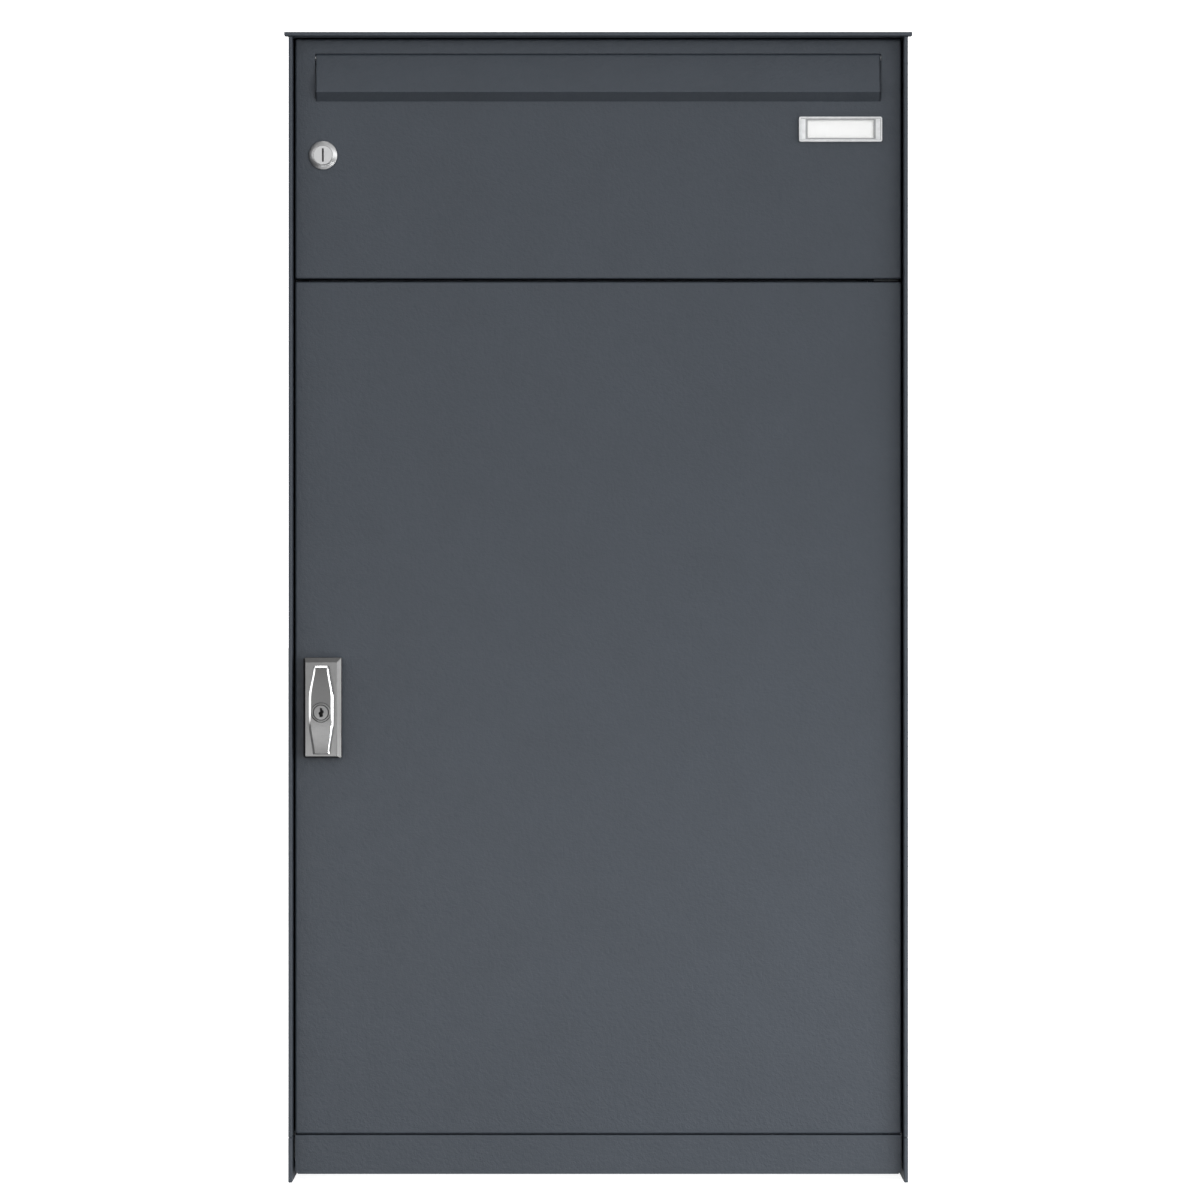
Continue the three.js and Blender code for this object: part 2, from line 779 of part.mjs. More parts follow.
const letterDoor = assembly(
  0, doorY, letterDoorZ[0],
  piece('letter_door_panel', letterDoorPanel(), powderCoat()),
  piece('letter_door_seal', doorSeal(letterHeight), foam()),
  piece('letter_slot_guard', slotGuard(), galvanised()),
  piece('flap_bracket_left', flapBracket(-1), powderCoat(), 0, 0, flapLocalZ),
  piece('flap_bracket_right', flapBracket(1), powderCoat(), 0, 0, flapLocalZ),
  piece('flap_rod', rod, zincPlated(), 0, flapPivot.behind, flapLocalZ),
  piece('name_plate_frame', nameFrame(), finish(0xb9bdc0, 0.3, 0.2), nameX, 0, nameLocalZ),
  piece('name_plate_window', nameInsert([-1.9, -1.3]), finish(0xe8edf0, 0.08, 0), nameX, 0, nameLocalZ),
  piece('name_card', nameInsert([-1, -0.6]), finish(0xf4f4f2, 0.9, 0), nameX, 0, nameLocalZ),
  piece('letter_lock_housing', lockHousing(), satinChrome(), lockX, 0, lockZ - letterDoorZ[0]),
  piece('letter_lock_nut', lockNut(), zincPlated(), lockX, 0, lockZ - letterDoorZ[0]),
  ...bushes('letter_door', letterHeight),
  flap,
  letterLock,
);

const keyPlug = assembly(0, 0, 0, piece('handle_key_plug', keyCore(), satinChrome()));

const handleLocalZ = handleZ - parcelDoorZ[0];

const turnHandle = assembly(
  handleX, 0, handleLocalZ,
  piece('handle_lever', handleLever(), dieCast()),
  piece('handle_lock_barrel', lockBarrel(), satinChrome()),
  piece('handle_spindle', handleSpindle(), zincPlated()),
  piece('handle_cam', latchCam(9.5, camReach, shaftSquare + 0.6, 3), zincPlated()),
  piece('handle_cam_bolt', camScrew(3, 8, 13, [31.3, 35.5]), zincPlated()),
  keyPlug,
);

const parcelHeight = parcelDoorZ[1] - parcelDoorZ[0];
const screwNames = ['handle_screw_lower', 'handle_screw_upper'];

const parcelDoor = assembly(
  0, doorY, parcelDoorZ[0],
  piece('parcel_door_panel', parcelDoorPanel(), powderCoat()),
  piece('parcel_door_seal', doorSeal(parcelHeight), foam()),
  piece('parcel_door_stiffener', doorStiffener(), galvanised()),
  piece('handle_base', handleBody(), dieCast(), handleX, 0, handleLocalZ),
  piece('handle_gasket', handleGasket(), foam(), handleX, 0, handleLocalZ),
  ...screwOffsets.map((offset, i) => (
    piece(screwNames[i], handleScrew(), zincPlated(), handleX, 0, handleLocalZ + offset)
  )),
  ...bushes('parcel_door', parcelHeight),
  turnHandle,
);

const dropBox = assembly(0, 0, 0, housing, letterDoor, parcelDoor);

export default dropBox;
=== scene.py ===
import math

import bmesh
import bpy
from mathutils import Matrix, Vector


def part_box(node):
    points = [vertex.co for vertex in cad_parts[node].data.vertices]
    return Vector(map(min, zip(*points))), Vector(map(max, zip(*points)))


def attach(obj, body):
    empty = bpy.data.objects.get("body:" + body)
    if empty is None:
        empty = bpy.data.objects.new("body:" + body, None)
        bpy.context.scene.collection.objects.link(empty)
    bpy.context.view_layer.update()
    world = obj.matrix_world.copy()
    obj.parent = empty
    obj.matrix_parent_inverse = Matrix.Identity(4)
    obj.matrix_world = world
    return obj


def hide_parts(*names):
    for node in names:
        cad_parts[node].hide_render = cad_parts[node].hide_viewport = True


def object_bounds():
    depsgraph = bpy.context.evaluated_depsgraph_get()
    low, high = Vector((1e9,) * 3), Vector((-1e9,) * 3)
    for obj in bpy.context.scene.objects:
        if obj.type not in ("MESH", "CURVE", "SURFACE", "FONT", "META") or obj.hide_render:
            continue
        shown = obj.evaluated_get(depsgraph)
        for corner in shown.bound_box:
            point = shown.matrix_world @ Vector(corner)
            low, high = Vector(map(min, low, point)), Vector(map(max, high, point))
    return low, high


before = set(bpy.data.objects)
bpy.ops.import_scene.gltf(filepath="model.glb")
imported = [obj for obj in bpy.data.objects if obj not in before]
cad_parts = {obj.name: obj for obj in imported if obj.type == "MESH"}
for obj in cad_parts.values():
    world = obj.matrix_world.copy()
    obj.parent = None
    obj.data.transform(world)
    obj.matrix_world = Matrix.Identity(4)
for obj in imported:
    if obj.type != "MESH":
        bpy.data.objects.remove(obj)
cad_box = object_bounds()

# Sizes in metres. Places come from the CAD nodes' boxes; the front of the drop box looks along -Y.
MM = 0.001
SHEET = 1.5 * MM
BEND = 1.6 * MM  # outer radius of a fold in the sheet
PLATE_EDGE = 0.45 * MM  # rounding that the powder coat leaves on a cut edge
FLAP_NOSE_HEIGHT = 845.4 * MM  # of the fold that stands furthest forward on the flap
CORNER_STEPS = 4  # segments in the round corner of a small rectangle
HOLE_STEPS = 48
NOISE_LOW, NOISE_HIGH = 0.3, 0.7  # most values of a noise texture lie between these

# The camera stands level with the middle of the box, far enough away for an almost flat view.
CAMERA_DISTANCE = 3.6  # from the front edges of the side panels
CAMERA_LENS = 139.5
CAMERA_RISE = 0.0057  # above the middle of the box
CAMERA_SIDE = 0.0014
FLOOR_RADIUS = 40


# ---------------------------------------------------------------- mesh helpers


def smooth(mesh, angle):
    """Smooth faces that stay sharp at edges over the angle."""
    mesh.polygons.foreach_set("use_smooth", [True] * len(mesh.polygons))
    mesh.set_sharp_from_angle(angle=math.radians(angle))


def add_object(name, bm, material, angle=40, closed=True):
    """Turns a bmesh into an object. An open sheet keeps the way its faces were made to look."""
    bmesh.ops.remove_doubles(bm, verts=bm.verts, dist=1e-7)
    if closed:
        bmesh.ops.recalc_face_normals(bm, faces=bm.faces)
    mesh = bpy.data.meshes.new(name)
    bm.to_mesh(mesh)
    bm.free()
    smooth(mesh, angle)
    for one in material if isinstance(material, (list, tuple)) else [material]:
        mesh.materials.append(one)
    obj = bpy.data.objects.new(name, mesh)
    bpy.context.scene.collection.objects.link(obj)
    return obj


def soften(obj, width, segments, angle):
    """Rounds the sharp edges of an object, and keeps its large faces looking flat."""
    bevel = obj.modifiers.new("edge_rounding", "BEVEL")
    bevel.width = width
    bevel.segments = segments
    bevel.limit_method = "ANGLE"
    bevel.angle_limit = math.radians(angle)
    weighted = obj.modifiers.new("flat_shading", "WEIGHTED_NORMAL")
    weighted.mode = "FACE_AREA"
    weighted.weight = 80
    weighted.keep_sharp = False


def fillet(corners, steps):
    """An open line through (a, b, radius) corners, with an arc at each corner that has a radius."""
    points = [Vector(c[:2]) for c in corners]
    line = [points[0]]
    for i in range(1, len(points) - 1):
        radius = corners[i][2]
        before = (points[i - 1] - points[i]).normalized()
        after = (points[i + 1] - points[i]).normalized()
        half = before.angle(after) / 2
        if radius <= 0 or half > math.pi / 2 - 1e-3:
            line.append(points[i])
            continue
        reach = radius / math.tan(half)
        centre = points[i] + (before + after).normalized() * radius / math.sin(half)
        start = points[i] + before * reach - centre
        end = points[i] + after * reach - centre
        turn = start.angle_signed(end)
        for k in range(steps + 1):
            line.append(centre + Matrix.Rotation(-turn * k / steps, 2) @ start)
    line.append(points[-1])
    return line


def thicken(line, thickness):
    """The closed outline of a sheet whose one face follows the line and whose other lies to its left."""
    other = []
    for i, point in enumerate(line):
        ahead = (line[min(i + 1, len(line) - 1)] - point).normalized()
        behind = (point - line[max(i - 1, 0)]).normalized()
        if i == 0:
            behind = ahead
        if i == len(line) - 1:
            ahead = behind
        along = (ahead + behind).normalized()
        stretch = 1 / max(0.3, along.dot(ahead))
        other.append(point + Vector((-along.y, along.x)) * thickness * stretch)
    return list(line) + other[::-1]


def prism_x(bm, outline, x0, x1):
    """A closed (y, z) outline swept along X."""
    ends = [[bm.verts.new((x, p[0], p[1])) for p in outline] for x in (x0, x1)]
    bm.faces.new(ends[0])
    bm.faces.new(ends[1][::-1])
    for i in range(len(outline)):
        j = (i + 1) % len(outline)
        bm.faces.new((ends[0][i], ends[1][i], ends[1][j], ends[0][j]))


def loft(bm, rings, capped=True, material_indices=None):
    """Faces between rings of points that all have the same count."""
    rows = [[bm.verts.new(p) for p in ring] for ring in rings]
    for k in range(len(rows) - 1):
        for i in range(len(rows[k])):
            j = (i + 1) % len(rows[k])
            face = bm.faces.new((rows[k][i], rows[k][j], rows[k + 1][j], rows[k + 1][i]))
            if material_indices:
                face.material_index = material_indices[k][i]
    if capped:
        bm.faces.new(rows[0][::-1])
        bm.faces.new(rows[-1])
    return rows


def rounded_rectangle(half_x, half_z, radius):
    """Points (x, z) of a rectangle with round corners about the origin."""
    points = []
    for quarter, (sx, sz) in enumerate(((1, 1), (-1, 1), (-1, -1), (1, -1))):
        centre = Vector((sx * (half_x - radius), sz * (half_z - radius)))
        for k in range(CORNER_STEPS + 1):
            angle = math.pi / 2 * (quarter + k / CORNER_STEPS)
            points.append(centre + radius * Vector((math.cos(angle), math.sin(angle))))
    return points


def inset_ring(low, high, insets, radius, y):
    """A rounded rectangle facing -Y inside a box, moved in from its (left, right, bottom, top) sides."""
    x0, x1 = low.x + insets[0], high.x - insets[1]
    z0, z1 = low.z + insets[2], high.z - insets[3]
    x, z = (x0 + x1) / 2, (z0 + z1) / 2
    return [(x + p.x, y, z + p.y) for p in rounded_rectangle((x1 - x0) / 2, (z1 - z0) / 2, radius)]


def turned_rings(axis, profile, count=64):
    """Rings about an axis along Y: the profile is (radius, y), and axis is an (x, z) place."""
    return [
        [
            (
                axis[0] + radius * math.cos(2 * math.pi * i / count),
                y,
                axis[1] + radius * math.sin(2 * math.pi * i / count),
            )
            for i in range(count)
        ]
        for radius, y in profile
    ]


def round_hole(node, radius, y):
    """Ring of points of a hole on the axis of a CAD node."""
    centre = centre_of(node)
    return turned_rings((centre.x, centre.z), [(radius, y)], HOLE_STEPS)[0]


def turned(name, axis, profile, material, closed=False, angle=35):
    """A turned piece. A closed profile makes a ring, an open one is capped at both ends."""
    bm = bmesh.new()
    rings = turned_rings(axis, profile + profile[:1] if closed else profile)
    loft(bm, rings, capped=not closed)
    return add_object(name, bm, material, angle)


def cut(obj, tool, angle=30):
    """Takes the tool's shape out of obj for good, and removes the tool."""
    boolean = obj.modifiers.new("cut", "BOOLEAN")
    boolean.operation = "DIFFERENCE"
    boolean.solver = "EXACT"
    boolean.material_mode = "TRANSFER"
    boolean.object = tool
    bpy.context.view_layer.update()
    evaluated = obj.evaluated_get(bpy.context.evaluated_depsgraph_get())
    mesh = bpy.data.meshes.new_from_object(evaluated)
    obj.modifiers.remove(boolean)
    old = obj.data
    obj.data = mesh
    smooth(mesh, angle)
    mesh.name = old.name
    bpy.data.meshes.remove(old)
    bpy.data.objects.remove(tool)


def centre_of(node):
    """Middle of a CAD node's box."""
    low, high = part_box(node)
    return (low + high) / 2


# ---------------------------------------------------------------- materials


class Nodes:
    """Builds one material's node tree around its Principled shader."""

    def __init__(self, name, **sockets):
        self.material = bpy.data.materials.new(name)
        self.material.use_nodes = True
        self.tree = self.material.node_tree
        self.shader = self.tree.nodes["Principled BSDF"]
        self.place = self.tree.nodes.new("ShaderNodeTexCoord").outputs["Object"]
        for socket, value in sockets.items():
            self.shader.inputs[socket.replace("_", " ")].default_value = value

    def add(self, kind, links=(), **settings):
        node = self.tree.nodes.new(kind)
        for key, value in settings.items():
            if key in node.inputs:
                node.inputs[key].default_value = value
            else:
                setattr(node, key, value)
        for output, socket in links:
            self.tree.links.new(output, node.inputs[socket])
        return node

    def noise(self, scale, detail=3.0, roughness=0.5, stretch=None):
        """Noise fixed to the piece. A stretch along one axis gives it a grain."""
        place = self.place
        if stretch:
            mapping = self.add("ShaderNodeMapping", [(place, "Vector")])
            mapping.inputs["Scale"].default_value = stretch
            place = mapping.outputs["Vector"]
        return self.add(
            "ShaderNodeTexNoise",
            [(place, "Vector")],
            Scale=scale,
            Detail=detail,
            Roughness=roughness,
        ).outputs["Fac"]

    def spread(self, value, low, high):
        """Maps a noise value to the range from low to high."""
        return self.add(
            "ShaderNodeMapRange",
            [(value, "Value")],
            **{"From Min": NOISE_LOW, "From Max": NOISE_HIGH, "To Min": low, "To Max": high},
        ).outputs["Result"]

    def blend(self, value, first, second):
        """A colour between two tones, by a texture value."""
        ramp = self.add("ShaderNodeValToRGB", [(value, "Fac")])
        ramp.color_ramp.elements[0].position = NOISE_LOW
        ramp.color_ramp.elements[1].position = NOISE_HIGH
        ramp.color_ramp.elements[0].color = (*first, 1)
        ramp.color_ramp.elements[1].color = (*second, 1)
        return ramp.outputs["Color"]

    def colour(self, output):
        self.tree.links.new(output, self.shader.inputs["Base Color"])

    def roughness(self, output):
        self.tree.links.new(output, self.shader.inputs["Roughness"])

    def bump(self, height, strength, distance):
        node = self.add(
            "ShaderNodeBump", [(height, "Height")], Strength=strength, Distance=distance
        )
        self.tree.links.new(node.outputs["Normal"], self.shader.inputs["Normal"])


def tones(base, spread):
    """Two tones that lie the given share below and above a base colour."""
    return [tuple(c * (1 + side * spread) for c in base) for side in (-1, 1)]


def powder_coat(name, base, gloss):
    """Paint with a fine orange-peel grain: base colour and strength of its shine."""
    n = Nodes(name, Metallic=0.0, Specular_IOR_Level=gloss)
    n.colour(n.blend(n.noise(22, 5, 0.6), *tones(base, 0.04)))
    n.roughness(n.spread(n.noise(160, 3), 0.5, 0.6))
    n.bump(n.noise(430, 3, 0.6), 0.8, 0.0005)
    return n.material


def galvanised():
    """Zinc-coated sheet with pale crystals."""
    n = Nodes("galvanised_sheet", Metallic=0.85)
    flakes = n.add(
        "ShaderNodeTexVoronoi", [(n.place, "Vector")], Scale=95.0, Randomness=1.0
    ).outputs["Color"]
    n.colour(n.blend(flakes, (0.34, 0.36, 0.38), (0.46, 0.48, 0.5)))
    n.roughness(n.spread(n.noise(60, 4), 0.36, 0.52))
    n.bump(n.noise(900, 2), 0.08, 0.0001)
    return n.material


def metal(name, base, spread, shine, grain, depth):
    """Bare metal: base colour, how far it varies, lowest and highest roughness, grain size and bump."""
    n = Nodes(name, Metallic=1.0)
    n.colour(n.blend(n.noise(grain / 8, 4), *tones(base, spread)))
    n.roughness(n.spread(n.noise(grain / 4, 3), *shine))
    n.bump(n.noise(grain, 3), depth, 0.00005)
    return n.material


def lever_face():
    """Very fine grinding marks run across the lever."""
    n = Nodes("lever_ground_face", Metallic=1.0)
    marks = n.noise(2600, 2, 0.5, stretch=(0.08, 1, 1))
    n.colour(n.blend(marks, *tones((0.098, 0.098, 0.098), 0.025)))
    n.roughness(n.spread(marks, 0.2, 0.27))
    n.bump(marks, 0.03, 0.00003)
    return n.material


def moulded(name, base, spread, shine, grain, depth, **sockets):
    """Plastic, foam or card, with the same values as metal."""
    n = Nodes(name, Metallic=0.0, **sockets)
    n.colour(n.blend(n.noise(grain / 4, 3), *tones(base, spread)))
    n.roughness(n.spread(n.noise(grain / 2, 2), *shine))
    n.bump(n.noise(grain, 3), depth, 0.0001)
    return n.material


def floor_paint():
    """Pale floor. It glows white, so that it runs into the backdrop without an edge."""
    n = Nodes("pale_floor", Specular_IOR_Level=0.1, Emission_Color=(1, 1, 1, 1), Emission_Strength=0.9)
    n.colour(n.blend(n.noise(3, 3), (0.86, 0.86, 0.865), (0.88, 0.88, 0.885)))
    n.roughness(n.spread(n.noise(20, 2), 0.8, 0.95))
    n.bump(n.noise(80, 3), 0.1, 0.001)
    return n.material


POWDER = powder_coat("powder_coat_anthracite", (0.0365, 0.0452, 0.058), 0.4)
# Painted shade: a near black coat on the small hinge and flap-bracket parts, so that the gaps where they
# show look dark.
GAP_SHADE_COAT = powder_coat("powder_coat_painted_gap_shade", (0.007, 0.008, 0.0095), 0.15)
# Painted shade: a darker copy of the powder coat for the flap's lip, so that the lip looks in shade.
POWDER_PAINTED_SHADE = powder_coat("powder_coat_painted_shade", (0.022, 0.028, 0.037), 0.28)
GALVANISED = galvanised()
ZINC = metal("zinc_plated_steel", (0.56, 0.565, 0.57), 0.08, (0.24, 0.38), 1400, 0.06)
CHROME = metal("satin_chrome", (0.41, 0.413, 0.416), 0.02, (0.35, 0.41), 2400, 0.01)
CAST = metal("die_cast_satin", (0.148, 0.148, 0.148), 0.04, (0.28, 0.34), 2200, 0.02)
SLOT = metal("shaded_slot", (0.1, 0.1, 0.1), 0.1, (0.5, 0.6), 1500, 0.1)
KEYWAY = metal("shaded_keyway", (0.02, 0.02, 0.02), 0.1, (0.5, 0.6), 1500, 0.1)
GROUND = lever_face()
POLISHED = metal("polished_edge", (0.9, 0.9, 0.9), 0.02, (0.08, 0.14), 2000, 0.02)
FOAM = moulded("black_foam", (0.015, 0.015, 0.016), 0.3, (0.85, 1.0), 1600, 1.0, Specular_IOR_Level=0.2)
NYLON = moulded("black_nylon", (0.019, 0.019, 0.02), 0.2, (0.45, 0.6), 1200, 0.1)
SILVER = moulded("silver_plastic", (0.62, 0.63, 0.64), 0.08, (0.18, 0.28), 900, 0.05, Coat_Weight=0.5)
# Painted shade: a darker copy of the silver plastic for the grooves and steps of the name plate.
SHADE = moulded("silver_plastic_painted_shade", (0.3, 0.305, 0.31), 0.08, (0.4, 0.5), 900, 0.05)
CLEAR = moulded("clear_plastic", (0.95, 0.96, 0.97), 0.02, (0.03, 0.08), 400, 0.02, Alpha=0.12)
CARD = moulded("white_card", (0.92, 0.92, 0.91), 0.02, (0.8, 0.95), 2500, 0.08, Specular_IOR_Level=0.2)


# ---------------------------------------------------------------- pieces


def place(obj, body, slot, *nodes):
    """Fixes a piece to a body, in the place of CAD nodes, which it hides. Its material slot is not used.
    """
    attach(obj, body)
    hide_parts(*nodes)


def fill_with_holes(bm, rim, holes):
    """Flat faces between a rim of vertices and the rings of points of its holes."""
    loops = [rim] + [[bm.verts.new(p) for p in hole] for hole in holes]
    edges = []
    for loop in loops:
        for i, vert in enumerate(loop):
            pair = (vert, loop[(i + 1) % len(loop)])
            edges.append(bm.edges.get(pair) or bm.edges.new(pair))
    bmesh.ops.triangle_fill(bm, use_beauty=True, edges=edges)


def thick_sheet(name, bm):
    """Gives an open sheet its thickness, behind the face that looks to the front."""
    bmesh.ops.recalc_face_normals(bm, faces=bm.faces)
    widest = max(bm.faces, key=lambda face: face.calc_area())
    if widest.normal.y > 0:
        bmesh.ops.reverse_faces(bm, faces=bm.faces)
    obj = add_object(name, bm, POWDER, 60, closed=False)
    sheet = obj.modifiers.new("sheet", "SOLIDIFY")
    sheet.thickness = SHEET
    sheet.offset = -1
    sheet.use_even_offset = True
    return flatten(obj, 40)


def flatten(obj, angle):
    """Applies the modifiers, keeps edges over the angle sharp and large faces looking flat."""
    bpy.context.view_layer.update()
    evaluated = obj.evaluated_get(bpy.context.evaluated_depsgraph_get())
    mesh = bpy.data.meshes.new_from_object(evaluated)
    obj.modifiers.clear()
    obj.data = mesh
    mesh.name = obj.name
    smooth(mesh, angle)
    weighted = obj.modifiers.new("flat_shading", "WEIGHTED_NORMAL")
    weighted.weight = 80
    weighted.keep_sharp = True
    return obj


def door_shell(node, holes):
    """Folded pan of a door: a face with holes, returns on all four sides and flanges behind."""
    low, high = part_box(node)
    steps = 6
    flange, hinge_flange = 12 * MM, 26 * MM
    rings = []
    for k in range(steps + 1):
        angle = math.pi / 2 * k / steps
        inset = BEND * (1 - math.sin(angle))
        y = low.y + BEND * (1 - math.cos(angle))
        rings.append(inset_ring(low, high, [inset] * 4, BEND * (0.3 + 0.7 * math.sin(angle)), y))
    for k in range(steps + 1):
        angle = math.pi / 2 * k / steps
        inset = BEND * (1 - math.cos(angle))
        y = high.y - BEND * (1 - math.sin(angle))
        rings.append(inset_ring(low, high, [inset] * 4, BEND * (1 - 0.7 * math.sin(angle)), y))
    rings.append(inset_ring(low, high, [flange, hinge_flange, flange, flange], 0.6 * MM, high.y))
    bm = bmesh.new()
    rows = loft(bm, rings, capped=False)
    fill_with_holes(bm, rows[0], holes)
    return thick_sheet(node.replace("panel", "shell"), bm)


def letter_door():
    """Upper door. Its letter slot passes the flap's ends, and hides behind its lip and its top edge."""
    low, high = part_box("letter_flap_panel")
    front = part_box("letter_door_panel")[0].y
    past_ends, behind_lip, behind_top = 0.55 * MM, 2.5 * MM, 0.65 * MM
    insets = [-past_ends, -past_ends, behind_lip, behind_top]
    slot = inset_ring(low, high, insets, 0.8 * MM, front)
    lock_hole = round_hole("letter_lock_housing", 9.35 * MM, front)
    shell = door_shell("letter_door_panel", [slot, lock_hole])
    place(shell, "letter_door", "powder_coat", "letter_door_panel")


def parcel_door():
    """Lower door, with a hole for the handle's spindle."""
    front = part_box("parcel_door_panel")[0].y
    spindle_hole = round_hole("handle_spindle", 6.5 * MM, front)
    shell = door_shell("parcel_door_panel", [spindle_hole])
    place(shell, "parcel_door", "powder_coat", "parcel_door_panel")


def flap():
    """Sheet rolled round the rod at its top edge, folded to a lip at its lower edge, with closed ends. The
    lip has painted shade.
    """
    low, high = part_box("letter_flap_panel")
    rod = centre_of("flap_rod")
    thickness = 1.2 * MM
    curl = 3.6 * MM  # outer radius of the roll
    roll_start, roll_sweep, roll_steps = 172, 232, 28
    nose = Vector((low.y, FLAP_NOSE_HEIGHT))
    lip = Vector((rod.y - 4.1 * MM, low.z))
    angles = [math.radians(roll_start - roll_sweep * k / roll_steps) for k in range(roll_steps + 1)]
    roll = [Vector((rod.y, rod.z)) + curl * Vector((math.cos(a), math.sin(a))) for a in angles]
    fold = fillet([(*lip, 0), (*nose, 1.3 * MM), (*roll[0], 0)], 8)
    bm = bmesh.new()
    prism_x(bm, thicken(fold[:-1] + roll, -thickness), low.x, high.x)
    cheek = fold + [Vector((lip.x, rod.z - 4 * MM))]
    inset = 0.05 * MM
    for x0, x1 in ((low.x + inset, low.x + thickness), (high.x - thickness, high.x - inset)):
        prism_x(bm, cheek, x0, x1)
    bm.normal_update()
    slant = -0.3
    for face in bm.faces:
        if face.normal.y < slant and face.normal.z < slant:
            face.material_index = 1  # the lip, which faces forward and down, gets a darker copy of the coat as painted shade
    obj = add_object("letter_flap_sheet", bm, [POWDER, POWDER_PAINTED_SHADE], 35)
    soften(obj, 0.25 * MM, 2, 50)
    place(obj, "letter_flap", "powder_coat", "letter_flap_panel")


def plinth():
    """Kick plate folded back along its top and sides, with its two lower corners cut off."""
    low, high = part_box("plinth_front")
    corner = 2.3 * MM
    side_gap = 1.2 * MM
    thickness = 2 * MM
    left, right = low.x + side_gap, high.x - side_gap
    top = high.z + 0.6 * MM
    section = fillet([(high.y, top, 0), (low.y, top, 1.0 * MM), (low.y, low.z, 0)], 6)
    back, under = low.y + thickness, top - thickness
    section += [Vector((back, low.z)), Vector((back, under)), Vector((high.y, under))]
    bm = bmesh.new()
    stations = ((left, corner), (left + corner, 0), (right - corner, 0), (right, corner))
    loft(bm, [[(x, p.x, max(p.y, low.z + lift)) for p in section] for x, lift in stations])
    z0, z1 = low.z + corner, high.z - thickness
    side_return = [(back, z0), (high.y, z0), (high.y, z1), (back, z1)]
    for x in (left, right - thickness):
        prism_x(bm, side_return, x, x + thickness)
    obj = add_object("plinth_kick_plate", bm, POWDER, 35)
    soften(obj, 0.35 * MM, 2, 50)
    place(obj, "housing", "powder_coat", "plinth_front")


def handle_base():
    """Escutcheon whose bevels differ in width from side to side."""
    low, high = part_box("handle_base")
    # Each is for the (left, right, bottom, top) side.
    foot = (1.8 * MM, 0, 0, 0)
    bevels = (0.9 * MM, 3.7 * MM, 1.4 * MM, 3.9 * MM)
    depth = 2.6 * MM  # of the bevels

    def ring(share, radius, y):
        """Outline at a share of the bevels' widths."""
        insets = [start + share * bevel for start, bevel in zip(foot, bevels)]
        return inset_ring(low, high, insets, radius, y)

    rings = [
        ring(0, 0.8 * MM, high.y),
        ring(0, 0.8 * MM, low.y + depth + 0.2 * MM),
        ring(0.06, 0.7 * MM, low.y + depth - 0.2 * MM),
        ring(0.92, 0.4 * MM, low.y + 0.28 * MM),
        ring(0.97, 0.35 * MM, low.y + 0.06 * MM),
        ring(1.08, 0.3 * MM, low.y),
    ]
    bm = bmesh.new()
    loft(bm, rings)
    obj = add_object("handle_escutcheon", bm, CAST, 10)
    spindle = centre_of("handle_spindle")
    radius, past = 6.3 * MM, 5 * MM
    profile = [(radius, low.y - past), (radius, high.y + past)]
    cut(obj, turned("spindle_bore", (spindle.x, spindle.z), profile, CAST), 10)
    place(obj, "parcel_door", "die_cast_satin", "handle_base")


def smooth_step(t):
    """Eases from 0 to 1."""
    t = min(max(t, 0), 1)
    return t * t * (3 - 2 * t)


def lever():
    """Tapered lever: a ground face that falls away to both ends, polished chamfers and straight flanks."""
    low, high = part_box("handle_lever")
    axis = centre_of("handle_spindle")
    top, bottom, crown, back = high.z - axis.z, low.z - axis.z, low.y, high.y
    chamfer = 1.5 * MM
    widest = 9.4 * MM  # half of the lever's width at its middle
    # For each half: where the taper starts, the share of the half that it takes up, how much width
    # it takes off each side, and how far the face falls.
    upper = (0.3, 0.72, 3.4 * MM, 3.6 * MM)
    lower = (0.25, 0.8, 3.0 * MM, 3.2 * MM)

    def half_width(z):
        end, (start, share, loss, _) = (top, upper) if z > 0 else (bottom, lower)
        return widest - loss * smooth_step((z / end - start) / share)

    def face(z):
        end, (*_, fall) = (top, upper) if z > 0 else (bottom, lower)
        return crown + fall * (z / end) ** 1.7

    def section(z, narrower, sunk, bevel):
        """Outline across the lever, narrower and further back than the lever is at that height."""
        half, front = half_width(z) - narrower, face(z) + sunk
        flank = [
            (half, back),
            (half, front + bevel * 1.1),
            (half - 0.1 * MM, front + bevel * 0.95),
            (half - bevel, front + 0.08 * MM),
            (half - bevel - 0.15 * MM, front),
        ]
        outline = flank + [(-x, y) for x, y in reversed(flank)]
        return [(axis.x + x, y, axis.z + z) for x, y in outline]

    steps = 28
    foot, head = 0.4 * MM, 1.2 * MM
    heights = [bottom + foot + (top - head - bottom - foot) * k / steps for k in range(steps + 1)]
    rings = (
        [section(bottom, foot, foot, chamfer * 0.8)]
        + [section(z, 0, 0, chamfer) for z in heights]
        + [section(top, head * 0.6, head * 0.7, chamfer * 0.4)]
    )
    flank, ground, bright = 0, 1, 2
    across = [flank, *[bright] * 3, ground, *[bright] * 3, flank, flank]
    at_head = [flank, *[bright] * 7, flank, flank]
    indices = [across] * (steps + 1) + [at_head]
    bm = bmesh.new()
    loft(bm, rings, material_indices=indices)
    obj = add_object("handle_turn_lever", bm, [CAST, GROUND, POLISHED], 22)
    radius = 7.7 * MM
    profile = [(radius, crown - 2 * MM), (radius, back - 1.2 * MM)]
    cut(obj, turned("barrel_seat", (axis.x, axis.z), profile, CAST), 22)
    place(obj, "turn_handle", "die_cast_satin", "handle_lever")


